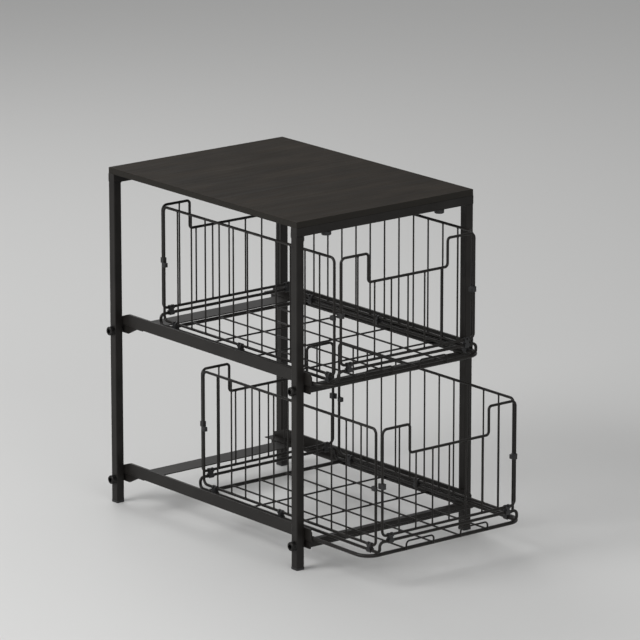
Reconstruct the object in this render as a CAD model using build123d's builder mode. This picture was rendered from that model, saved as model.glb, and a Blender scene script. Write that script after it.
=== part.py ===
"""Two-tier pull-out cabinet basket.

A tube frame with a wood-grain top carries two pairs of folded sheet rails. A wire basket slides
in each pair, and its four wire panels fold down on clips so that it stores flat.

Millimetres, +Z up. +X is to the right and -Y is the front, the side the baskets pull out of.
The origin is on the floor, at the middle of the whole object with its baskets part way out.
"""

from build123d import *

import os

os.makedirs("parts", exist_ok=True)

# ---------------------------------------------------------------- frame
frame_width = 294.0
frame_depth = 400.0
frame_height = 462.0
board_thick = 8.0
board_edge_radius = 1.0
tube = 12.0
tube_wall = 1.0
tube_corner = 1.2
bar_end_plate = 1.5
foot_height = 3.0
foot_flare = 0.6
foot_plug_depth = 14.0
foot_plug_play = 0.15
knob_inset = 47.0
knob_dia = 13.0
knob_height = 5.0
knob_shank = 5.0
knob_bite = 5.0
hole_play = 0.4

# ---------------------------------------------------------------- slide rails and their hangers
rail_height = 16.0
rail_flange = 16.0
rail_lip = 3.5
rail_sheet = 1.2
rail_front_overhang = 15.0
rail_back_overhang = 5.0
rail_back_taper = 29.0
rail_back_height = 6.0
rail_front_cut = 3.5
lower_rail_z = 40.4
spacer_thick = 2.5
spacer_dia = 7.0
hanger_overhang = 8.0
hanger_sheet = 2.0
hanger_drop = 11.6
hanger_front_flat = 17.0
hanger_front_taper = 18.0
hanger_back_flat = 26.0
hanger_back_taper = 23.0
hanger_corner = 2.5
cross_tube = 10.0
strip_width = 31.0
strip_sheet = 1.5
strip_inset = 26.0
bolt_rise = 3.9
bolt_shank = 5.0
bolt_head_dia = 12.0
bolt_head_height = 7.0
bolt_head_round = 1.8
bolt_socket = 6.0
bolt_socket_depth = 3.5
nut_dia = 7.4
nut_height = 3.5

# ---------------------------------------------------------------- baskets
run_gap = 0.3
weld_gap = 0.1
ring_wire = 5.0
ring_setback = 20.0
ring_corner = 20.0
hinge_wire = 4.0
hinge_bend = 6.0
rod = 3.6
rod_bend = 7.0
notch_bend = 4.5
thin_wire = 2.2
floor_wire = 2.4
hinge_inset = 16.0
end_overhang = 7.0
side_setback = 8.0
end_rise = 14.0
panel_rise = 7.5
panel_headroom = 24.2
side_bays = 12
end_bays = 8
notch_inset = 44.9
notch_depth = 38.0
floor_pitch = 45.4
floor_wires = 4
cross_wires = 3
loop_height = 11.0
loop_foot = 0.8
loop_bend = 5.0
clip_wall = 1.2
clip_width = 8.0
clip_slit = 3.0
clip_gap = 2.8
clip_waist = 5.0
clip_waist_height = 3.0
side_clip_from_front = 11.5
side_clip_from_back = 24.0
end_clip_from_side = 13.0
latch_base = 84.0
latch_width = 6.0
latch_skin = 0.2
latch_height = 7.0
latch_length = 7.0
latch_corner = 1.5
latch_nub = 2.4

# ---------------------------------------------------------------- where the baskets stand at rest
closed_offset = -10.0
upper_pulled_out = 47.5
lower_pulled_out = 131.5

# ---------------------------------------------------------------- worked out from the above
half_width = frame_width / 2
half_depth = frame_depth / 2
leg_x = half_width - tube / 2
leg_y = half_depth - tube / 2
knob_x = leg_x - knob_inset
bar_top_z = frame_height - board_thick
bar_bottom_z = bar_top_z - tube
rail_x = half_width - tube
rail_front = half_depth + rail_front_overhang
rail_back = half_depth + rail_back_overhang
tier_pitch = (bar_bottom_z - lower_rail_z + hanger_drop) / 2
hanger_x = rail_x - spacer_thick
cross_half = hanger_x - hanger_sheet
hanger_front = half_depth + hanger_overhang
ring_half_width = rail_x - rail_sheet - run_gap - ring_wire / 2
ring_half_length = half_depth - ring_setback
cross_pitch = 2 * ring_half_length / (cross_wires + 1)
side_plane = ring_half_width - hinge_inset
end_plane = ring_half_length + end_overhang
side_half_length = end_plane - side_setback
ring_over_rail = rail_sheet + run_gap + ring_wire / 2
hinge_over_ring = ring_wire / 2 + weld_gap + hinge_wire / 2
panel_over_rail = ring_over_rail + hinge_over_ring + panel_rise
side_panel_height = tier_pitch - hanger_drop - panel_headroom - panel_over_rail
clip_radius = hinge_wire / 2 + run_gap + clip_wall
reach_over_panel = max(clip_radius, latch_length / 2)
reach_front = -closed_offset + lower_pulled_out + end_plane + reach_over_panel
frame_y = (reach_front - rail_back) / 2
rail_zs = {"lower": lower_rail_z, "upper": lower_rail_z + tier_pitch}
basket_ys = {
    "lower": frame_y + closed_offset - lower_pulled_out,
    "upper": frame_y + closed_offset - upper_pulled_out,
}
latch_outer_x = side_plane - rod / 2 - run_gap
latch_x = latch_outer_x - latch_width / 2
end_half_width = latch_outer_x - latch_skin - rod / 2
notch_half_width = end_half_width - notch_inset
leg_ys = (frame_y - leg_y, frame_y + leg_y)
knob_places = [(x, y) for x in (-knob_x, knob_x) for y in leg_ys]


def save(part, label):
    """Label a finished piece and write it as a node of its own."""
    part.label = label
    export_step(part, f"parts/{label}.step")


def ring_of_wire(points, radius, bends):
    """A round wire bent round the points and butted where it starts, in its first straight run."""
    with BuildPart() as wire:
        with BuildLine() as route:
            FilletPolyline(*points, radius=[0, *bends], close=True)
        line = route.wire()
        with BuildSketch(Plane(origin=line @ 0, z_dir=line % 0)):
            Circle(radius)
        sweep(path=line)
    return wire.part


# ---------------------------------------------------------------- frame pieces
with BuildPart() as top_board:
    with Locations((0, frame_y, bar_top_z + board_thick / 2)):
        Box(frame_width, frame_depth, board_thick)
    fillet(top_board.edges().filter_by(Axis.Z), board_edge_radius)
    chamfer(top_board.faces().sort_by(Axis.Z)[-1].edges(), board_edge_radius / 2)
    with Locations(*[(x, y, bar_top_z) for x, y in knob_places]):
        Cylinder(
            (knob_shank + hole_play) / 2,
            knob_bite + hole_play,
            align=(Align.CENTER, Align.CENTER, Align.MIN),
            mode=Mode.SUBTRACT,
        )
save(top_board.part, "top_board")

for name, side in (("front", -1), ("back", 1)):
    with BuildPart() as top_bar:
        with BuildSketch(Plane.YZ.offset(-half_width)):
            with Locations((frame_y + side * leg_y, bar_bottom_z + tube / 2)):
                RectangleRounded(tube, tube, tube_corner)
        extrude(amount=frame_width)
        with BuildSketch(Plane.YZ.offset(bar_end_plate - half_width)):
            with Locations((frame_y + side * leg_y, bar_bottom_z + tube / 2)):
                RectangleRounded(tube - 2 * tube_wall, tube - 2 * tube_wall, tube_wall / 2)
        extrude(amount=frame_width - 2 * bar_end_plate, mode=Mode.SUBTRACT)
        with Locations(*[(x, frame_y + side * leg_y, bar_bottom_z) for x in (-knob_x, knob_x)]):
            Cylinder(
                (knob_shank + hole_play) / 2,
                tube,
                align=(Align.CENTER, Align.CENTER, Align.MIN),
                mode=Mode.SUBTRACT,
            )
    save(top_bar.part, f"top_bar_{name}")

with BuildPart() as board_knobs:
    with Locations(*[(x, y, bar_bottom_z - knob_height) for x, y in knob_places]):
        Cylinder(knob_dia / 2, knob_height, align=(Align.CENTER, Align.CENTER, Align.MIN))
    fillet(
        board_knobs.edges().filter_by(GeomType.CIRCLE).group_by(Axis.Z)[0], knob_height / 4
    )
    with Locations(*[(x, y, bar_bottom_z) for x, y in knob_places]):
        Cylinder(
            knob_shank / 2, tube + knob_bite, align=(Align.CENTER, Align.CENTER, Align.MIN)
        )
save(board_knobs.part, "board_knobs")

bolt_zs = [z - hanger_drop + bolt_rise for z in rail_zs.values()]
for end_name, end in (("front", -1), ("back", 1)):
    for side_name, side in (("left", -1), ("right", 1)):
        with BuildPart() as leg:
            with BuildSketch(Plane.XY.offset(foot_height)):
                with Locations((side * leg_x, frame_y + end * leg_y)):
                    RectangleRounded(tube, tube, tube_corner)
                    RectangleRounded(
                        tube - 2 * tube_wall,
                        tube - 2 * tube_wall,
                        tube_wall / 2,
                        mode=Mode.SUBTRACT,
                    )
            extrude(amount=bar_bottom_z - foot_height)
            with Locations(*[(side * leg_x, frame_y + end * leg_y, z) for z in bolt_zs]):
                Cylinder(
                    (bolt_shank + hole_play) / 2, tube, rotation=(0, 90, 0), mode=Mode.SUBTRACT
                )
        save(leg.part, f"leg_{end_name}_{side_name}")

with BuildPart() as feet:
    corners = [(x, frame_y + y) for x in (-leg_x, leg_x) for y in (-leg_y, leg_y)]
    with BuildSketch():
        with Locations(*corners):
            RectangleRounded(tube + foot_flare, tube + foot_flare, tube_corner)
    extrude(amount=foot_height)
    chamfer(feet.edges().group_by(Axis.Z)[0], foot_flare)
    with BuildSketch(Plane.XY.offset(foot_height)):
        with Locations(*corners):
            plug = tube - 2 * tube_wall - 2 * foot_plug_play
            RectangleRounded(plug, plug, tube_wall / 2)
    extrude(amount=foot_plug_depth)
save(feet.part, "feet")

# ---------------------------------------------------------------- rails, hangers and cross pieces
rail_length = rail_front + rail_back
for tier, rail_z in rail_zs.items():
    rail_top_z = rail_z + rail_height
    for side_name, side in (("left", -1), ("right", 1)):
        with BuildPart() as rail:
            with BuildSketch(Plane.XZ.offset(rail_front - frame_y)):
                with Locations((side * (rail_x - rail_sheet / 2), rail_z + rail_height / 2)):
                    Rectangle(rail_sheet, rail_height)
                with Locations((side * (rail_x - rail_flange / 2), rail_z + rail_sheet / 2)):
                    Rectangle(rail_flange, rail_sheet)
                with Locations((side * (rail_x - rail_lip / 2), rail_top_z - rail_sheet / 2)):
                    Rectangle(rail_lip, rail_sheet)
            extrude(amount=-rail_length)
            web = rail.faces().sort_by(Axis.X)[0 if side < 0 else -1]
            fillet(web.edges().filter_by(Axis.Y), rail_sheet / 2)
            with BuildSketch(Plane.YZ.offset(-half_width)):
                front = frame_y - rail_front
                back = frame_y + rail_back
                with BuildLine():
                    Polyline(
                        (back, rail_z + rail_back_height),
                        (back, rail_top_z),
                        (back - rail_back_taper, rail_top_z),
                        close=True,
                    )
                make_face()
                with BuildLine():
                    Polyline(
                        (front, rail_top_z - rail_front_cut),
                        (front, rail_top_z),
                        (front + rail_front_cut, rail_top_z),
                        close=True,
                    )
                make_face()
            extrude(amount=frame_width, mode=Mode.SUBTRACT)
        save(rail.part, f"{tier}_rail_{side_name}")

    hanger_z = rail_z - hanger_drop
    with BuildPart() as hangers:
        with BuildSketch(Plane.YZ.offset(-hanger_x)) as outline:
            front = frame_y - hanger_front
            back = frame_y + rail_back
            with BuildLine():
                Polyline(
                    (front, rail_z),
                    (front, hanger_z),
                    (front + hanger_front_flat, hanger_z),
                    (front + hanger_front_flat + hanger_front_taper, rail_z),
                    close=True,
                )
            make_face()
            with BuildLine():
                Polyline(
                    (back, rail_z),
                    (back, hanger_z),
                    (back - hanger_back_flat, hanger_z),
                    (back - hanger_back_flat - hanger_back_taper, rail_z),
                    close=True,
                )
            make_face()
            fillet(outline.vertices().group_by(Axis.Y)[0].sort_by(Axis.Z)[0], hanger_corner)
            fillet(outline.vertices().group_by(Axis.Y)[-1].sort_by(Axis.Z)[0], hanger_corner)
            with Locations(
                (frame_y - leg_y, hanger_z + bolt_rise), (frame_y + leg_y, hanger_z + bolt_rise)
            ):
                Circle((bolt_shank + hole_play) / 2, mode=Mode.SUBTRACT)
        extrude(amount=hanger_sheet)
        mirror(about=Plane.YZ)
    save(hangers.part, f"{tier}_rail_hangers")

    with BuildPart() as front_bar:
        with BuildSketch(Plane.YZ.offset(-cross_half)):
            with Locations((frame_y - hanger_front + cross_tube / 2, rail_z - cross_tube / 2)):
                RectangleRounded(cross_tube, cross_tube, tube_corner)
                RectangleRounded(
                    cross_tube - 2 * tube_wall,
                    cross_tube - 2 * tube_wall,
                    tube_wall / 2,
                    mode=Mode.SUBTRACT,
                )
        extrude(amount=2 * cross_half)
    save(front_bar.part, f"{tier}_front_bar")

    with BuildPart() as back_strip:
        strip_y = frame_y + rail_back - strip_inset - strip_width / 2
        with Locations((0, strip_y, rail_z - strip_sheet / 2)):
            Box(2 * cross_half, strip_width, strip_sheet)
        fillet(back_strip.edges().filter_by(Axis.X), strip_sheet / 4)
    save(back_strip.part, f"{tier}_back_strip")

    bolt_z = hanger_z + bolt_rise
    with BuildPart() as bolts:
        shank_length = half_width - cross_half + nut_height
        for end in (-1, 1):
            axis_plane = Plane(
                origin=(-half_width, frame_y + end * leg_y, bolt_z), z_dir=(-1, 0, 0)
            )
            with BuildSketch(axis_plane):
                Circle(bolt_head_dia / 2)
            extrude(amount=bolt_head_height)
            with BuildSketch(axis_plane):
                Circle(bolt_shank / 2)
            extrude(amount=-shank_length)
        rim = bolts.edges().filter_by(GeomType.CIRCLE).group_by(Axis.X)[0]
        fillet(rim, bolt_head_round)
        for end in (-1, 1):
            socket_plane = Plane(
                origin=(-half_width - bolt_head_height, frame_y + end * leg_y, bolt_z),
                z_dir=(1, 0, 0),
            )
            with BuildSketch(socket_plane):
                RegularPolygon(bolt_socket / 2, 6, major_radius=False)
            extrude(amount=bolt_socket_depth, mode=Mode.SUBTRACT)
        mirror(about=Plane.YZ)
    save(bolts.part, f"{tier}_leg_bolts")

    with BuildPart() as spacers:
        for end in (-1, 1):
            with BuildSketch(
                Plane(origin=(-rail_x, frame_y + end * leg_y, bolt_z), z_dir=(1, 0, 0))
            ):
                Circle(spacer_dia / 2)
                Circle((bolt_shank + hole_play) / 2, mode=Mode.SUBTRACT)
            extrude(amount=spacer_thick)
            with BuildSketch(
                Plane(origin=(-cross_half, frame_y + end * leg_y, bolt_z), z_dir=(1, 0, 0))
            ):
                Circle(nut_dia / 2)
                Circle((bolt_shank + hole_play) / 2, mode=Mode.SUBTRACT)
            extrude(amount=nut_height)
        mirror(about=Plane.YZ)
    save(spacers.part, f"{tier}_spacers_and_nuts")

# ---------------------------------------------------------------- baskets
def panel_outline(half, bottom, top, notch_half=0.0, notch=0.0):
    """Corners of a panel's bent rod, from the bottom left, with a pull notch in its top."""
    corners = [(-half, bottom), (-half, top)]
    if notch:
        corners += [(-notch_half, top), (-notch_half, top - notch)]
        corners += [(notch_half, top - notch), (notch_half, top)]
    return corners + [(half, top), (half, bottom)]


def bent_panel_rod(plane, corners):
    """A panel's outer rod: one length bent to the outline, its ends butted in the bottom run."""
    notch_corners = len(corners) - 4
    bends = [rod_bend, rod_bend] + [notch_bend] * notch_corners + [rod_bend, rod_bend]
    flat = [(0, corners[0][1])] + corners
    points = [plane.from_local_coords(Vector(across, up, 0)) for across, up in flat]
    return ring_of_wire(points, rod / 2, bends)


def upright_wires(plane, places):
    """Thin straight wires between a panel's bottom and top runs, in the panel's own plane."""
    with BuildPart() as wires:
        for place, low, high in places:
            with BuildSketch(
                Plane(origin=plane.from_local_coords(Vector(place, low, 0)), z_dir=(0, 0, 1))
            ):
                Circle(thin_wire / 2)
            extrude(amount=high - low)
    return wires.part


def hinge_clips(plane, hinge_z, places):
    """Moulded clips: a running bore on the hinge wire, a tight bore on the panel's bottom run.

    Seen face on a clip is a collar, a waist and two prongs that snap over the panel's rod.
    """
    waist_z = hinge_z + (clip_radius + panel_rise - rod / 2 - clip_wall) / 2
    prong_top = rod / 2 + clip_wall
    with BuildPart() as clips:
        for place in places:
            side_on = Plane(
                origin=plane.from_local_coords(Vector(place - clip_width / 2, hinge_z, 0)),
                x_dir=plane.z_dir,
                z_dir=plane.x_dir,
            )
            with BuildSketch(side_on):
                Circle(clip_radius)
                with Locations((0, panel_rise * side_on.y_dir.Z)):
                    Circle(rod / 2 + clip_wall)
                make_hull()
                Circle(hinge_wire / 2 + run_gap, mode=Mode.SUBTRACT)
                with Locations((0, panel_rise * side_on.y_dir.Z)):
                    Circle(rod / 2, mode=Mode.SUBTRACT)
                with Locations((0, -clip_radius * side_on.y_dir.Z)):
                    Rectangle(clip_slit, clip_radius * 2, mode=Mode.SUBTRACT)
            extrude(amount=clip_width)
        with BuildSketch(plane):
            with Locations(*[(x, hinge_z + panel_rise + prong_top / 2) for x in places]):
                Rectangle(clip_gap, prong_top)
            edges = [x + end * clip_width / 2 for x in places for end in (-1, 1)]
            with Locations(*[(x, waist_z) for x in edges]):
                Rectangle(clip_width - clip_waist, clip_waist_height)
        extrude(amount=clip_radius, both=True, mode=Mode.SUBTRACT)
    return clips.part


for tier, rail_z in rail_zs.items():
    basket_y = basket_ys[tier]
    ring_z = rail_z + ring_over_rail
    hinge_z = ring_z + hinge_over_ring
    end_hinge_z = hinge_z + end_rise
    panel_top_z = rail_z + panel_over_rail + side_panel_height

    ring_points = [
        (0, basket_y - ring_half_length, ring_z),
        (ring_half_width, basket_y - ring_half_length, ring_z),
        (ring_half_width, basket_y + ring_half_length, ring_z),
        (-ring_half_width, basket_y + ring_half_length, ring_z),
        (-ring_half_width, basket_y - ring_half_length, ring_z),
    ]
    save(ring_of_wire(ring_points, ring_wire / 2, [ring_corner] * 4), f"{tier}_base_ring")

    front_y = basket_y - end_plane
    back_y = basket_y + end_plane
    hoop_points = [
        (0, front_y, end_hinge_z),
        (side_plane, front_y, end_hinge_z),
        (side_plane, front_y, hinge_z),
        (side_plane, back_y, hinge_z),
        (side_plane, back_y, end_hinge_z),
        (-side_plane, back_y, end_hinge_z),
        (-side_plane, back_y, hinge_z),
        (-side_plane, front_y, hinge_z),
        (-side_plane, front_y, end_hinge_z),
    ]
    save(ring_of_wire(hoop_points, hinge_wire / 2, [hinge_bend] * 8), f"{tier}_hinge_hoop")

    with BuildPart() as floor_cross:
        cross_half_length = ring_half_width - ring_wire / 2
        for step in range(cross_wires):
            y = basket_y + (step - (cross_wires - 1) / 2) * cross_pitch
            z = ring_z - ring_wire / 2 + floor_wire / 2
            with BuildSketch(Plane.YZ.offset(-cross_half_length)):
                with Locations((y, z)):
                    Circle(floor_wire / 2)
            extrude(amount=2 * cross_half_length)
    save(floor_cross.part, f"{tier}_floor_cross_wires")

    with BuildPart() as floor_long:
        long_half_length = ring_half_length - ring_wire / 2
        for step in range(floor_wires):
            x = (step - (floor_wires - 1) / 2) * floor_pitch
            z = ring_z - ring_wire / 2 + floor_wire * 1.5
            with BuildSketch(Plane.XZ.offset(long_half_length - basket_y)):
                with Locations((x, z)):
                    Circle(floor_wire / 2)
            extrude(amount=-2 * long_half_length)
        loop_y = basket_y - ring_half_length - ring_wire / 2 - floor_wire / 2
        for side in (-1, 1):
            near = side * floor_pitch / 2
            far = side * floor_pitch * 1.5
            with BuildLine() as loop:
                FilletPolyline(
                    (near, loop_y, ring_z - loop_foot),
                    (near, loop_y, ring_z + loop_height),
                    (far, loop_y, ring_z + loop_height),
                    (far, loop_y, ring_z - loop_foot),
                    radius=loop_bend,
                )
            with BuildSketch(Plane(origin=(near, loop_y, ring_z - loop_foot))):
                Circle(floor_wire / 2)
            sweep(path=loop.wire())
    save(floor_long.part, f"{tier}_floor_wires")

    for end_name, end in (("front", -1), ("back", 1)):
        panel_y = basket_y + end * end_plane
        face_plane = Plane(origin=(0, panel_y, 0), x_dir=(1, 0, 0), z_dir=(0, -1, 0))
        low = end_hinge_z + panel_rise
        outline_points = panel_outline(
            end_half_width, low, panel_top_z, notch_half_width, notch_depth
        )
        save(bent_panel_rod(face_plane, outline_points), f"{tier}_{end_name}_panel_rod")
        places = []
        for step in range(1, end_bays):
            x = (step / end_bays * 2 - 1) * end_half_width
            high = panel_top_z if abs(x) > notch_half_width else panel_top_z - notch_depth
            places.append((x, low + rod / 2, high - rod / 2))
        save(upright_wires(face_plane, places), f"{tier}_{end_name}_panel_wires")
        clip_x = end_half_width - end_clip_from_side
        save(
            hinge_clips(face_plane, end_hinge_z, (-clip_x, clip_x)),
            f"{tier}_{end_name}_hinge_clips",
        )
        nub_reach = end_plane - side_half_length - rod / 2 - run_gap
        nub_x = latch_outer_x - latch_nub / 2
        with BuildPart() as latches:
            with BuildSketch(Plane.XY.offset(hinge_z + latch_base)):
                with Locations((-latch_x, panel_y), (latch_x, panel_y)):
                    RectangleRounded(latch_width, latch_length, latch_corner)
                nub_y = panel_y - end * nub_reach / 2
                with Locations((-nub_x, nub_y), (nub_x, nub_y)):
                    Rectangle(latch_nub, nub_reach)
                with Locations((-end_half_width, panel_y), (end_half_width, panel_y)):
                    Circle(rod / 2, mode=Mode.SUBTRACT)
            extrude(amount=latch_height)
        save(latches.part, f"{tier}_{end_name}_corner_latches")

    for side_name, side in (("left", -1), ("right", 1)):
        side_face = Plane(
            origin=(side * side_plane, basket_y, 0), x_dir=(0, side, 0), z_dir=(side, 0, 0)
        )
        low = hinge_z + panel_rise
        save(
            bent_panel_rod(side_face, panel_outline(side_half_length, low, panel_top_z)),
            f"{tier}_{side_name}_panel_rod",
        )
        places = [
            ((step / side_bays * 2 - 1) * side_half_length, low + rod / 2, panel_top_z - rod / 2)
            for step in range(1, side_bays)
        ]
        save(upright_wires(side_face, places), f"{tier}_{side_name}_panel_wires")
        clip_places = [
            side * (side_clip_from_front - side_half_length),
            side * side_half_length / side_bays,
            side * (side_half_length - side_clip_from_back),
        ]
        save(hinge_clips(side_face, hinge_z, clip_places), f"{tier}_{side_name}_hinge_clips")
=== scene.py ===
"""Looks for the two-tier pull-out cabinet basket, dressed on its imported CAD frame.

Metres, +Z up, -Y towards the front. Every operator makes one piece or a group of like pieces.
"""

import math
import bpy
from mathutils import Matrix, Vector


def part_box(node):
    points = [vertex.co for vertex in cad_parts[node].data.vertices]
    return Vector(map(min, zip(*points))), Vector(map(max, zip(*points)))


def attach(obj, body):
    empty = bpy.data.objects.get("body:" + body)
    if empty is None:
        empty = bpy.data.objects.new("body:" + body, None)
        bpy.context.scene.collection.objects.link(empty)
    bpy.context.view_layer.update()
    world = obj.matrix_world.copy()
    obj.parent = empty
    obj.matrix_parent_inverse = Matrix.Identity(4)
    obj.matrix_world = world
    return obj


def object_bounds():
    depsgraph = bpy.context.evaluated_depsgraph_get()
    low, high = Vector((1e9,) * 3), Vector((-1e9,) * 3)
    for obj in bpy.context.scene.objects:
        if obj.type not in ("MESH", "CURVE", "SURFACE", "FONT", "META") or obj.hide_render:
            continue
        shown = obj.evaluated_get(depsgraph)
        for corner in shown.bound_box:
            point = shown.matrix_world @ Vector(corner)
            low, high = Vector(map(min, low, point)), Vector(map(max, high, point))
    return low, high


bl_info = {
    "name": "Pull-out Cabinet Basket",
    "version": (1, 0, 0),
    "blender": (4, 5, 0),
    "location": "3D View > Sidebar > Basket",
    "description": "Dresses a two-tier pull-out wire basket organiser and sets up its studio",
    "category": "Object",
}

import bpy
from mathutils import Matrix, Vector

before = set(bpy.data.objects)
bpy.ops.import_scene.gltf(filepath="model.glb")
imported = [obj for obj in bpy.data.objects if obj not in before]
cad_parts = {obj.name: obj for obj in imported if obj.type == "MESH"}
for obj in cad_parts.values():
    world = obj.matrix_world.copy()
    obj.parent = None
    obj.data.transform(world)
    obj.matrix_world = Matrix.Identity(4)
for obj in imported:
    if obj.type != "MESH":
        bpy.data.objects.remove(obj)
cad_box = [list(corner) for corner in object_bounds()]

MM = 0.001
TIERS = ("lower", "upper")
ENDS = ("front", "back")
SIDES = ("left", "right")

# wires as the CAD has them
FLOOR_WIRES = 4
CROSS_WIRES = 3
SIDE_UPRIGHTS = 11
END_UPRIGHTS = 7

# where most values of a noise lie
NOISE_SPAN = (0.3, 0.7)

FLOOR_SIZE = 30
WORLD_STRENGTH = 0.42
SENSOR_WIDTH_MM = 36
# name, place and side in metres, power in watts
LIGHTS = (
    ("window", (-2.4, 0.5, 1.9), 1.6, 54.0),
    ("front_fill", (-0.6, -2.6, 1.6), 1.8, 20.0),
    ("back_rim", (0.6, 2.2, 2.2), 1.4, 20.0),
)


# ---------------------------------------------------------------- colours and nodes
def linear(hex_colour):
    """An sRGB hex colour as the linear RGBA that shader sockets take."""
    channels = [int(hex_colour[i : i + 2], 16) / 255 for i in (1, 3, 5)]
    return [c / 12.92 if c <= 0.04045 else ((c + 0.055) / 1.055) ** 2.4 for c in channels] + [1.0]


def add_node(material, kind, settings=None, **inputs):
    """Adds a shader node. Settings are its properties; inputs are values, or (node, output) links."""
    tree = material.node_tree
    node = tree.nodes.new(kind)
    for name, value in (settings or {}).items():
        setattr(node, name, value)
    for name, value in inputs.items():
        socket = node.inputs[int(name[1:])] if name[0] == "_" else node.inputs[name.replace("_", " ")]
        if isinstance(value, tuple) and isinstance(value[0], bpy.types.Node):
            tree.links.new(value[0].outputs[value[1]], socket)
        else:
            socket.default_value = value
    return node


def new_material(name, **surface):
    """An empty node material with a Principled surface whose plain sockets are given."""
    material = bpy.data.materials.new(name)
    material.use_nodes = True
    material.node_tree.nodes.clear()
    shader = add_node(material, "ShaderNodeBsdfPrincipled", None, **surface)
    add_node(material, "ShaderNodeOutputMaterial", None, Surface=(shader, "BSDF"))
    return material, shader


def feed(material, shader, **links):
    """Links outputs of nodes into the shader's sockets."""
    for name, (node, output) in links.items():
        material.node_tree.links.new(node.outputs[output], shader.inputs[name.replace("_", " ")])


def ramp(material, factor, *stops):
    """A colour ramp over (place, hex colour) stops."""
    node = add_node(material, "ShaderNodeValToRGB", None, Fac=factor)
    elements = node.color_ramp.elements
    while len(elements) < len(stops):
        elements.new(0.5)
    for element, (place, colour) in zip(elements, stops):
        element.position = place
        element.color = linear(colour)
    return node


def grain_place(material, place, length_mm, width_mm):
    """Object coordinates counted in grains, which are long in X."""
    long, wide = 1 / (length_mm * MM), 1 / (width_mm * MM)
    return add_node(
        material, "ShaderNodeMapping", None, Vector=(place, "Object"), Scale=(long, wide, wide)
    )


def noise(material, vector, detail, size_mm=None, **inputs):
    """Noise over a (node, output) vector, which is in metres if a size is given, else in grains."""
    scale = 1 / (size_mm * MM) if size_mm else 1.0
    return add_node(
        material, "ShaderNodeTexNoise", None, Vector=vector, Scale=scale, Detail=detail, **inputs
    )


def spread(material, factor, low, high, span=NOISE_SPAN):
    """Spreads a (node, output) factor's span over low to high."""
    return add_node(
        material,
        "ShaderNodeMapRange",
        None,
        Value=factor,
        From_Min=span[0],
        From_Max=span[1],
        To_Min=low,
        To_Max=high,
    )


def relief(material, height, strength, depth_mm, **settings):
    """Bump from a (node, output) height."""
    return add_node(
        material, "ShaderNodeBump", settings, Strength=strength, Distance=depth_mm * MM, Height=height
    )


def dark_oak_laminate(look):
    # Melamine paper in a dark oak print on chipboard: brown-black and matt, in soft mottled patches
    # with faint streaks that run the board's width, and short open pores that catch the light. The
    # edges are taped with a plain band, a little greyer and paler than the print.
    material, shader = new_material("dark_oak_melamine_laminate", IOR=1.5, Specular_IOR_Level=0.09)
    place = add_node(material, "ShaderNodeTexCoord")
    patch_place = grain_place(material, place, length_mm=75, width_mm=24)
    pore_place = grain_place(material, place, length_mm=9, width_mm=0.7)
    streak_place = grain_place(material, place, length_mm=160, width_mm=7)
    patches = noise(material, (patch_place, "Vector"), detail=3.0)
    pores = noise(material, (pore_place, "Vector"), detail=3.0)
    warp = noise(material, (place, "Object"), detail=2.0, size_mm=90)
    bent = add_node(
        material,
        "ShaderNodeVectorMath",
        {"operation": "MULTIPLY_ADD"},
        _0=(warp, "Color"),
        # how far the warp bends the streaks, in grains
        _1=(0.6, 2.2, 0.6),
        _2=(streak_place, "Vector"),
    )
    streaks = noise(material, (bent, "Vector"), detail=5.0, Roughness=0.62)
    streak_share = 0.42
    figure = add_node(
        material,
        "ShaderNodeMix",
        {"data_type": "FLOAT"},
        _0=streak_share,
        _2=(patches, "Fac"),
        _3=(streaks, "Fac"),
    )
    tone = ramp(
        material,
        (figure, 0),
        (0.36, look.board_dark),
        (0.50, look.board_middle),
        (0.68, look.board_pale),
    )
    pore_mask = ramp(material, (pores, "Fac"), (0.56, "#ffffff"), (0.68, "#b4b4b4"))
    printed = add_node(
        material,
        "ShaderNodeMix",
        {"data_type": "RGBA", "blend_type": "MULTIPLY"},
        _0=1.0,
        _6=(tone, "Color"),
        _7=(pore_mask, "Color"),
    )
    # the print lies on the level faces and the band on the upright ones
    facing = add_node(material, "ShaderNodeSeparateXYZ", None, Vector=(place, "Normal"))
    level = add_node(material, "ShaderNodeMath", {"operation": "ABSOLUTE"}, _0=(facing, "Z"))
    print_here = spread(material, (level, 0), low=0.0, high=1.0, span=(0.5, 0.9))
    banded = add_node(
        material,
        "ShaderNodeMix",
        {"data_type": "RGBA"},
        _0=(print_here, "Result"),
        _6=linear(look.board_edge),
        _7=(printed, 2),
    )
    gloss = spread(material, (streaks, "Fac"), low=0.62, high=0.74)
    bump = relief(material, (pores, "Fac"), strength=0.35, depth_mm=0.15, invert=True)
    feed(
        material,
        shader,
        Base_Color=(banded, 2),
        Roughness=(gloss, "Result"),
        Normal=(bump, "Normal"),
    )
    return material


def powder_coat(name, colour, thick_colour, roughness, peel_mm, depth_mm):
    # Polyester powder baked on steel: a satin black film with a soft orange peel, a little greyer
    # where the film lies thick.
    material, shader = new_material(name, IOR=1.5, Specular_IOR_Level=0.26)
    place = add_node(material, "ShaderNodeTexCoord")
    peel = noise(material, (place, "Object"), detail=2.0, size_mm=peel_mm)
    clouds = noise(material, (place, "Object"), detail=3.0, size_mm=35)
    tone = ramp(material, (clouds, "Fac"), (0.32, colour), (0.68, thick_colour))
    gloss = spread(material, (clouds, "Fac"), low=roughness - 0.04, high=roughness + 0.05)
    bump = relief(material, (peel, "Fac"), strength=0.25, depth_mm=depth_mm)
    feed(
        material,
        shader,
        Base_Color=(tone, "Color"),
        Roughness=(gloss, "Result"),
        Normal=(bump, "Normal"),
    )
    return material


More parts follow.
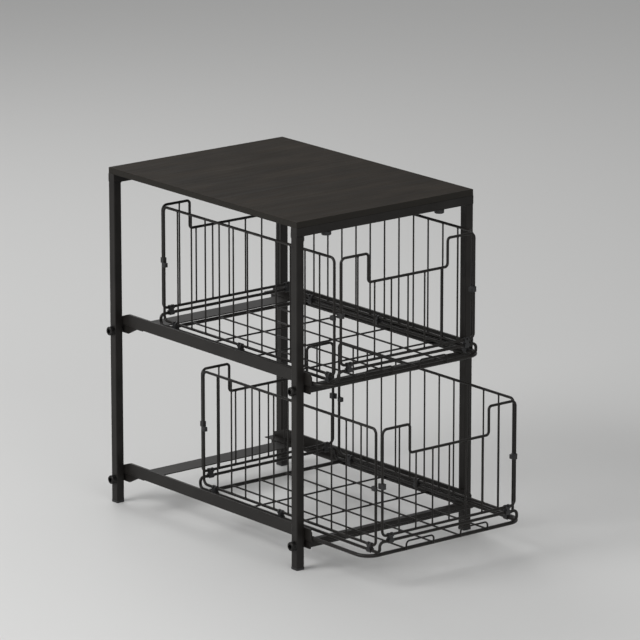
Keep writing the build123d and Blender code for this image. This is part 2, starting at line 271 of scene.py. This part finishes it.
def black_oxide_steel(look):
    # Blackened carbon steel: a thin oily oxide, so still a metal, dark neutral grey and uneven.
    material, shader = new_material("black_oxide_steel", Metallic=0.85)
    place = add_node(material, "ShaderNodeTexCoord")
    blotches = noise(material, (place, "Object"), detail=4.0, size_mm=2.5)
    tone = ramp(material, (blotches, "Fac"), (0.35, look.screw_colour), (0.7, look.screw_worn))
    gloss = spread(material, (blotches, "Fac"), low=0.34, high=0.5)
    feed(material, shader, Base_Color=(tone, "Color"), Roughness=(gloss, "Result"))
    return material


def moulded_nylon(look):
    # Injection-moulded black nylon: matt, with a fine spark-eroded grain from the mould.
    material, shader = new_material("moulded_black_nylon", IOR=1.53)
    place = add_node(material, "ShaderNodeTexCoord")
    # spark grain of 0.15 mm, drawn at 0.4 mm so that it shows
    grain = noise(material, (place, "Object"), detail=2.0, size_mm=0.4)
    tone = ramp(material, (grain, "Fac"), (0.3, look.nylon_colour), (0.75, look.nylon_grain))
    gloss = spread(material, (grain, "Fac"), low=0.48, high=0.62)
    bump = relief(material, (grain, "Fac"), strength=0.3, depth_mm=0.05)
    feed(
        material,
        shader,
        Base_Color=(tone, "Color"),
        Roughness=(gloss, "Result"),
        Normal=(bump, "Normal"),
    )
    return material


def finish_nodes(names, material):
    """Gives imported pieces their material."""
    for name in names:
        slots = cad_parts[name].data.materials
        slots.clear()
        slots.append(material)


# ---------------------------------------------------------------- small pieces and their places
def select_only(piece, parts, wanted):
    """Leaves the piece in edit mode with only the wanted vertices or polygons selected."""
    bpy.ops.object.mode_set(mode="EDIT")
    bpy.ops.mesh.select_all(action="DESELECT")
    bpy.ops.object.mode_set(mode="OBJECT")
    for part in getattr(piece.data, parts):
        part.select = wanted(part)
    bpy.ops.object.mode_set(mode="EDIT")


def weld_drop(length, width, height):
    """One drop of weld metal at the origin, long in X: a squashed ball with a flatter crown."""
    # the crown's foot and its drop, as shares of the ball's diameter
    crown_from, crown_drop = 0.3, 0.09
    bpy.ops.object.select_all(action="DESELECT")
    bpy.ops.mesh.primitive_uv_sphere_add(segments=10, ring_count=6, radius=0.5)
    drop = bpy.context.object
    select_only(drop, "vertices", lambda corner: corner.co.z > crown_from)
    bpy.ops.transform.translate(value=(0, 0, -crown_drop))
    bpy.ops.mesh.select_all(action="SELECT")
    bpy.ops.transform.resize(value=(length, width, height), center_override=(0, 0, 0))
    bpy.ops.object.mode_set(mode="OBJECT")
    bpy.ops.object.shade_smooth()
    return drop


def strew(name, drop, places, body, material):
    """Copies a drop to each (place, z direction, x direction), joins them and rides them on a body."""
    bpy.ops.object.select_all(action="DESELECT")
    for place, up, along in places:
        mesh = drop.data.copy()
        across = Vector(up).cross(Vector(along))
        turn = Matrix((Vector(along), across, Vector(up))).transposed().to_4x4()
        mesh.transform(Matrix.Translation(place) @ turn)
        copy = bpy.data.objects.new(name, mesh)
        bpy.context.scene.collection.objects.link(copy)
        copy.select_set(True)
        bpy.context.view_layer.objects.active = copy
    bpy.ops.object.join()
    piece = bpy.context.object
    piece.name = name
    piece.data.name = name
    piece.data.materials.clear()
    piece.data.materials.append(material)
    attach(piece, body)


def even_places(low, high, count):
    """Evenly spaced places from low to high, both ends included."""
    return [low + (high - low) * step / (count - 1) for step in range(count)]


def seam_places(start, end, up, pitch):
    """Drops that overlap along a seam, as a weld's ripples do."""
    start, end = Vector(start), Vector(end)
    along = (end - start).normalized()
    count = max(2, round((end - start).length / pitch) + 1)
    return [(start.lerp(end, step / (count - 1)), up, along) for step in range(count)]


# ---------------------------------------------------------------- what a user would change
def tone_property(name, what, default):
    """A colour that a user may change."""
    return bpy.props.StringProperty(name=name, description=f"{what}, sRGB hex", default=default)


def length_property(name, what, millimetres):
    """A length that a user may change."""
    return bpy.props.FloatProperty(
        name=name, description=what, default=millimetres * MM, unit="LENGTH"
    )


def angle_property(name, what, degrees):
    """An angle that a user may change."""
    return bpy.props.FloatProperty(
        name=name, description=what, default=math.radians(degrees), subtype="ANGLE"
    )


class BASKET_PG_looks(bpy.types.PropertyGroup):
    board_dark: tone_property("Board dark", "Darkest patch of the laminate", "#1e1a15")
    board_middle: tone_property("Board middle", "Main tone of the laminate", "#25201a")
    board_pale: tone_property("Board pale", "Palest patch of the laminate", "#2e2821")
    board_edge: tone_property("Board edge", "Edge band of the board", "#2a2825")
    tube_colour: tone_property("Tube", "Powder coat on tubes and sheet", "#191715")
    tube_thick: tone_property("Tube, thick", "The same coat where it lies thick", "#22201e")
    wire_colour: tone_property("Wire", "Powder coat on wires", "#161412")
    wire_thick: tone_property("Wire, thick", "The same coat where it lies thick", "#1e1c1a")
    screw_colour: tone_property("Screws", "Black oxide on screws", "#222120")
    screw_worn: tone_property("Screws, worn", "The same oxide where it is thin", "#3a3938")
    nylon_colour: tone_property("Mouldings", "Black nylon of clips and feet", "#171718")
    nylon_grain: tone_property("Mouldings, grain", "Peaks of the nylon's grain", "#252526")
    tube_roughness: bpy.props.FloatProperty(
        name="Tube roughness", description="Gloss of the tube's coat", default=0.42, min=0.2, max=0.8
    )
    wire_roughness: bpy.props.FloatProperty(
        name="Wire roughness", description="Gloss of the wire's coat", default=0.38, min=0.2, max=0.8
    )


class BASKET_PG_welds(bpy.types.PropertyGroup):
    spot_length: length_property("Spot length", "Weld where two floor wires cross", 3.6)
    spot_width: length_property("Spot width", "Width of the same weld", 3.2)
    spot_height: length_property("Spot height", "Height of the same weld", 1.9)
    saddle_length: length_property("Saddle length", "Weld of the hoop on the ring", 6.2)
    saddle_width: length_property("Saddle width", "Width of the same weld", 4.4)
    saddle_height: length_property("Saddle height", "Height of the same weld", 2.6)
    hoop_wire: length_property("Hoop wire", "Thickness of the hinge hoop's wire", 4.0)
    butt_length: length_property("Butt length", "Weld at a thin wire's end", 3.0)
    butt_height: length_property("Butt height", "Height of the same weld", 1.8)
    notch_depth: length_property("Notch depth", "Drop of an end panel's top run", 38.0)
    ripple_length: length_property("Ripple length", "One ripple of a seam, along it", 2.4)
    ripple_width: length_property("Ripple width", "Width of a seam", 2.8)
    ripple_pitch: length_property("Ripple pitch", "From one ripple to the next", 1.3)


class BASKET_PG_keepers(bpy.types.PropertyGroup):
    width: length_property("Width", "Keeper's size across the basket", 4.6)
    depth: length_property("Depth", "Keeper's size along the basket", 7.6)
    height: length_property("Height", "Keeper's height", 6.0)
    rib: length_property("Rib", "How far the thumb rib stands out", 0.9)
    rib_margin: length_property("Rib margin", "Land round the thumb rib", 1.3)
    edge: length_property("Edge", "Radius of the moulding's edges", 0.5)
    play: length_property("Play", "From the rod's faces to the keeper's", 0.1)
    lift: length_property("Lift", "Keeper's middle above the latch's", -4.0)


class BASKET_PG_stage(bpy.types.PropertyGroup):
    floor_colour: tone_property("Floor", "Pale floor", "#cfcfce")
    lens: bpy.props.FloatProperty(
        name="Lens", description="Focal length on a 36 mm sensor, in millimetres", default=287.97, min=50
    )
    azimuth: angle_property("Azimuth", "How far the camera stands to the left of the front", 38.798)
    pitch: angle_property("Pitch", "How far the camera looks down", 14.739)
    distance: length_property("Distance", "Camera to the frame's middle", 6765.82)
    across: length_property("Across", "Aim to the right of the frame's middle", 40.34)
    aim_height: length_property("Aim height", "Height that the camera aims at", 269.32)


# ---------------------------------------------------------------- operators
class BASKET_OT_board_finish(bpy.types.Operator):
    """Finish the top board in dark oak laminate"""

    bl_idname = "basket.board_finish"
    bl_label = "Board finish"

    def execute(self, context):
        finish_nodes(["top_board"], dark_oak_laminate(context.scene.basket_looks))
        return {"FINISHED"}


class BASKET_OT_frame_finish(bpy.types.Operator):
    """Powder coat the tubes, rails, hangers and cross pieces"""

    bl_idname = "basket.frame_finish"
    bl_label = "Frame finish"

    def execute(self, context):
        look = context.scene.basket_looks
        coat = powder_coat(
            "powder_coated_steel_tube",
            look.tube_colour,
            look.tube_thick,
            look.tube_roughness,
            peel_mm=1.4,
            depth_mm=0.08,
        )
        names = [f"top_bar_{end}" for end in ENDS]
        names += [f"leg_{end}_{side}" for end in ENDS for side in SIDES]
        for tier in TIERS:
            names += [f"{tier}_rail_{side}" for side in SIDES]
            names += [f"{tier}_{piece}" for piece in ("rail_hangers", "front_bar", "back_strip")]
        finish_nodes(names, coat)
        return {"FINISHED"}


class BASKET_OT_wire_finish(bpy.types.Operator):
    """Powder coat the baskets' wires and rods"""

    bl_idname = "basket.wire_finish"
    bl_label = "Wire finish"

    def execute(self, context):
        look = context.scene.basket_looks
        coat = powder_coat(
            "powder_coated_steel_wire",
            look.wire_colour,
            look.wire_thick,
            look.wire_roughness,
            peel_mm=1.0,
            depth_mm=0.05,
        )
        body_pieces = ("base_ring", "hinge_hoop", "floor_cross_wires", "floor_wires")
        names = []
        for tier in TIERS:
            names += [f"{tier}_{piece}" for piece in body_pieces]
            for face in ENDS + SIDES:
                names += [f"{tier}_{face}_panel_rod", f"{tier}_{face}_panel_wires"]
        finish_nodes(names, coat)
        return {"FINISHED"}


class BASKET_OT_fastener_finish(bpy.types.Operator):
    """Blacken the screws, spacers and weld nuts"""

    bl_idname = "basket.fastener_finish"
    bl_label = "Fastener finish"

    def execute(self, context):
        oxide = black_oxide_steel(context.scene.basket_looks)
        names = [f"{tier}_{piece}" for tier in TIERS for piece in ("leg_bolts", "spacers_and_nuts")]
        finish_nodes(names, oxide)
        return {"FINISHED"}


class BASKET_OT_moulding_finish(bpy.types.Operator):
    """Give the clips, latches, knobs and feet their moulded nylon"""

    bl_idname = "basket.moulding_finish"
    bl_label = "Moulding finish"

    def execute(self, context):
        nylon = moulded_nylon(context.scene.basket_looks)
        names = ["board_knobs", "feet"]
        for tier in TIERS:
            names += [f"{tier}_{face}_hinge_clips" for face in ENDS + SIDES]
            names += [f"{tier}_{end}_corner_latches" for end in ENDS]
        finish_nodes(names, nylon)
        return {"FINISHED"}


class BASKET_OT_latch_keepers(bpy.types.Operator):
    """Clip a moulded keeper with a thumb rib on each side panel's upright, beside the corner latch"""

    bl_idname = "basket.latch_keepers"
    bl_label = "Latch keepers"

    def execute(self, context):
        size = context.scene.basket_keepers
        nylon = bpy.data.materials["moulded_black_nylon"]
        smooth_below = math.radians(40)
        bpy.ops.object.select_all(action="DESELECT")
        bpy.ops.mesh.primitive_cube_add(size=1)
        keeper = bpy.context.object
        bpy.ops.object.mode_set(mode="EDIT")
        bpy.ops.transform.resize(value=(size.width, size.depth, size.height), center_override=(0, 0, 0))
        # the rib is drawn out of the face that looks along X
        select_only(keeper, "polygons", lambda face: face.normal.x > 0.9)
        bpy.ops.mesh.select_mode(type="FACE")
        bpy.ops.mesh.inset(thickness=size.rib_margin)
        bpy.ops.mesh.extrude_region_move(TRANSFORM_OT_translate={"value": (size.rib, 0, 0)})
        bpy.ops.object.mode_set(mode="OBJECT")
        rounding = keeper.modifiers.new("edges", "BEVEL")
        rounding.width = size.edge
        rounding.segments = 3
        bpy.ops.object.modifier_apply(modifier=rounding.name)
        bpy.ops.object.shade_smooth_by_angle(angle=smooth_below)
        for tier in TIERS:
            for side in SIDES:
                rod_low, rod_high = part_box(f"{tier}_{side}_panel_rod")
                out = -1 if side == "left" else 1
                inner_x = rod_low.x if out > 0 else rod_high.x
                x = inner_x + out * (size.play + size.width / 2)
                inset = size.play + size.depth / 2
                places = []
                for end in ENDS:
                    latch_low, latch_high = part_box(f"{tier}_{end}_corner_latches")
                    y = rod_low.y + inset if end == "front" else rod_high.y - inset
                    z = (latch_low.z + latch_high.z) / 2 + size.lift
                    places.append(((x, y, z), (0, 0, 1), (out, 0, 0)))
                name = f"{tier}_{side}_latch_keepers"
                strew(name, keeper, places, f"{tier}_{side}_panel", nylon)
        bpy.data.objects.remove(keeper)
        return {"FINISHED"}


class BASKET_OT_floor_welds(bpy.types.Operator):
    """Spot weld the floor wires, the base ring and the hinge hoop of each basket"""

    bl_idname = "basket.floor_welds"
    bl_label = "Floor welds"

    def execute(self, context):
        size = context.scene.basket_welds
        coat = bpy.data.materials["powder_coated_steel_wire"]
        drop = weld_drop(size.spot_length, size.spot_width, size.spot_height)
        up, right, ahead = (0, 0, 1), (1, 0, 0), (0, 1, 0)
        for tier in TIERS:
            ring_low, ring_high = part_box(f"{tier}_base_ring")
            cross_low, cross_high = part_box(f"{tier}_floor_cross_wires")
            long_low, long_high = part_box(f"{tier}_floor_wires")
            hoop_low, hoop_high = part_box(f"{tier}_hinge_hoop")
            half_wire = (cross_high.z - cross_low.z) / 2
            ring_wire = ring_high.z - ring_low.z
            inner_front = ring_low.y + ring_wire
            inner_back = ring_high.y - ring_wire
            xs = even_places(long_low.x + half_wire, long_high.x - half_wire, FLOOR_WIRES)
            ys = even_places(cross_low.y + half_wire, cross_high.y - half_wire, CROSS_WIRES)
            # where the wires cross
            places = [((x, y, cross_high.z), up, right) for x in xs for y in ys]
            # the cross wires' ends on the ring
            wire_z = cross_low.z + half_wire
            places += [((x, y, wire_z), up, ahead) for y in ys for x in (cross_low.x, cross_high.x)]
            # the long wires' ends on the ring, and the loops' feet on its front
            long_z = cross_high.z + half_wire
            places += [((x, y, long_z), up, right) for x in xs for y in (inner_front, inner_back)]
            ring_z = (ring_low.z + ring_high.z) / 2
            places += [((x, ring_low.y, ring_z), (0, -1, 0), right) for x in xs]
            strew(f"{tier}_floor_spot_welds", drop, places, f"{tier}_basket", coat)
            half_hoop = size.hoop_wire / 2
            saddle_xs = (hoop_low.x + half_hoop, hoop_high.x - half_hoop)
            saddle_ys = ((ring_low.y + inner_front) / 2, (ring_high.y + inner_back) / 2)
            places = [((x, y, ring_high.z), up, ahead) for x in saddle_xs for y in saddle_ys]
            saddle = weld_drop(size.saddle_length, size.saddle_width, size.saddle_height)
            strew(f"{tier}_saddle_welds", saddle, places, f"{tier}_basket", coat)
            bpy.data.objects.remove(saddle)
        bpy.data.objects.remove(drop)
        return {"FINISHED"}


class BASKET_OT_panel_welds(bpy.types.Operator):
    """Spot weld both ends of every thin upright wire to its panel's rod"""

    bl_idname = "basket.panel_welds"
    bl_label = "Panel welds"

    def execute(self, context):
        size = context.scene.basket_welds
        coat = bpy.data.materials["powder_coated_steel_wire"]
        drop = weld_drop(size.butt_length, size.butt_length, size.butt_height)
        for tier in TIERS:
            for face in ENDS + SIDES:
                low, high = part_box(f"{tier}_{face}_panel_wires")
                middle = (low + high) / 2
                places = []
                if face in SIDES:
                    half = (high.x - low.x) / 2
                    for y in even_places(low.y + half, high.y - half, SIDE_UPRIGHTS):
                        places += [((middle.x, y, z), (0, 0, 1), (0, 1, 0)) for z in (low.z, high.z)]
                else:
                    half = (high.y - low.y) / 2
                    outermost = (0, END_UPRIGHTS - 1)
                    xs = even_places(low.x + half, high.x - half, END_UPRIGHTS)
                    for step, x in enumerate(xs):
                        top = high.z if step in outermost else high.z - size.notch_depth
                        places += [((x, middle.y, z), (0, 0, 1), (1, 0, 0)) for z in (low.z, top)]
                name = f"{tier}_{face}_panel_welds"
                strew(name, drop, places, f"{tier}_{face}_panel", coat)
        bpy.data.objects.remove(drop)
        return {"FINISHED"}


class BASKET_OT_frame_welds(bpy.types.Operator):
    """Lay the rippled weld seams under the top bars and at the ends of the cross pieces"""

    bl_idname = "basket.frame_welds"
    bl_label = "Frame welds"

    def execute(self, context):
        size = context.scene.basket_welds
        coat = bpy.data.materials["powder_coated_steel_tube"]
        drop = weld_drop(size.ripple_length, size.ripple_width, size.ripple_width)
        inset = size.ripple_width / 2
        pitch = size.ripple_pitch
        places = []
        for side, side_name in zip((-1, 1), SIDES):
            under = Vector((-side, 0, -1)).normalized()
            behind = Vector((-side, 1, 0)).normalized()
            for end in ENDS:
                low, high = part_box(f"leg_{end}_{side_name}")
                x = high.x if side < 0 else low.x
                front, back = low.y + inset, high.y - inset
                places += seam_places((x, front, high.z), (x, back, high.z), under, pitch)
            for tier in TIERS:
                bar_low, bar_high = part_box(f"{tier}_front_bar")
                x = bar_low.x if side < 0 else bar_high.x
                y = bar_high.y
                bottom, top = bar_low.z + inset, bar_high.z - inset
                places += seam_places((x, y, bottom), (x, y, top), behind, pitch)
                strip_low, strip_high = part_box(f"{tier}_back_strip")
                front, back = strip_low.y + inset, strip_high.y - inset
                z = strip_low.z
                places += seam_places((x, front, z), (x, back, z), under, pitch)
        strew("frame_weld_seams", drop, places, "frame", coat)
        bpy.data.objects.remove(drop)
        return {"FINISHED"}


class BASKET_OT_stage(bpy.types.Operator):
    """Set up the pale floor, the soft lights and the camera"""

    bl_idname = "basket.stage"
    bl_label = "Stage"

    def execute(self, context):
        stage = context.scene.basket_stage
        bpy.ops.object.select_all(action="DESELECT")
        bpy.ops.mesh.primitive_plane_add(size=FLOOR_SIZE)
        floor = context.object
        floor.name = "floor"
        # Matt paint, plain and pale, so that it only catches the shadow
        paint, _ = new_material(
            "matt_floor_paint", Base_Color=linear(stage.floor_colour), Roughness=0.7
        )
        floor.data.materials.append(paint)

        world = bpy.data.worlds.new("studio")
        context.scene.world = world
        world.use_nodes = True
        background = world.node_tree.nodes["Background"]
        background.inputs["Color"].default_value = (1.0, 1.0, 1.0, 1.0)
        background.inputs["Strength"].default_value = WORLD_STRENGTH

        middle = (Vector(cad_box[0]) + Vector(cad_box[1])) / 2
        for name, place, size, watts in LIGHTS:
            light = bpy.data.lights.new(name, "AREA")
            light.energy = watts
            light.size = size
            lamp = bpy.data.objects.new(name, light)
            lamp.location = place
            lamp.rotation_euler = (middle - Vector(place)).to_track_quat("-Z", "Y").to_euler()
            context.scene.collection.objects.link(lamp)

        camera = bpy.data.objects.new("camera", bpy.data.cameras.new("camera"))
        camera.data.lens = stage.lens
        camera.data.sensor_width = SENSOR_WIDTH_MM
        turn, drop = stage.azimuth, stage.pitch
        level = math.cos(drop)
        forward = Vector((math.sin(turn) * level, math.cos(turn) * level, -math.sin(drop)))
        right = Vector((math.cos(turn), -math.sin(turn), 0))
        low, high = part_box("top_board")
        frame_middle = Vector((0, (low.y + high.y) / 2, stage.aim_height))
        camera.location = frame_middle - forward * stage.distance + right * stage.across
        camera.rotation_euler = (math.pi / 2 - drop, 0, -turn)
        context.scene.collection.objects.link(camera)
        context.scene.camera = camera
        context.scene.view_settings.view_transform = "Standard"
        return {"FINISHED"}


class BASKET_PT_panel(bpy.types.Panel):
    """Shows the basket's settings and operator buttons in the sidebar"""

    bl_label = "Pull-out Cabinet Basket"
    bl_idname = "BASKET_PT_panel"
    bl_space_type = "VIEW_3D"
    bl_region_type = "UI"
    bl_category = "Basket"

    def draw(self, context):
        column = self.layout.column()
        scene = context.scene
        groups = (scene.basket_looks, scene.basket_welds, scene.basket_keepers, scene.basket_stage)
        for group in groups:
            for name in group.__annotations__:
                column.prop(group, name)
        for operator in OPERATORS:
            column.operator(operator.bl_idname)


OPERATORS = (
    BASKET_OT_board_finish,
    BASKET_OT_frame_finish,
    BASKET_OT_wire_finish,
    BASKET_OT_fastener_finish,
    BASKET_OT_moulding_finish,
    BASKET_OT_latch_keepers,
    BASKET_OT_floor_welds,
    BASKET_OT_panel_welds,
    BASKET_OT_frame_welds,
    BASKET_OT_stage,
)
GROUPS = (BASKET_PG_looks, BASKET_PG_welds, BASKET_PG_keepers, BASKET_PG_stage)
CLASSES = GROUPS + OPERATORS + (BASKET_PT_panel,)


def register():
    for cls in CLASSES:
        bpy.utils.register_class(cls)
    bpy.types.Scene.basket_looks = bpy.props.PointerProperty(type=BASKET_PG_looks)
    bpy.types.Scene.basket_welds = bpy.props.PointerProperty(type=BASKET_PG_welds)
    bpy.types.Scene.basket_keepers = bpy.props.PointerProperty(type=BASKET_PG_keepers)
    bpy.types.Scene.basket_stage = bpy.props.PointerProperty(type=BASKET_PG_stage)


def unregister():
    del bpy.types.Scene.basket_stage
    del bpy.types.Scene.basket_keepers
    del bpy.types.Scene.basket_welds
    del bpy.types.Scene.basket_looks
    for cls in reversed(CLASSES):
        bpy.utils.unregister_class(cls)


def main():
    register()
    bpy.ops.basket.board_finish()
    bpy.ops.basket.frame_finish()
    bpy.ops.basket.wire_finish()
    bpy.ops.basket.fastener_finish()
    bpy.ops.basket.moulding_finish()
    bpy.ops.basket.latch_keepers()
    bpy.ops.basket.floor_welds()
    bpy.ops.basket.panel_welds()
    bpy.ops.basket.frame_welds()
    bpy.ops.basket.stage()


if __name__ == "__main__":
    main()
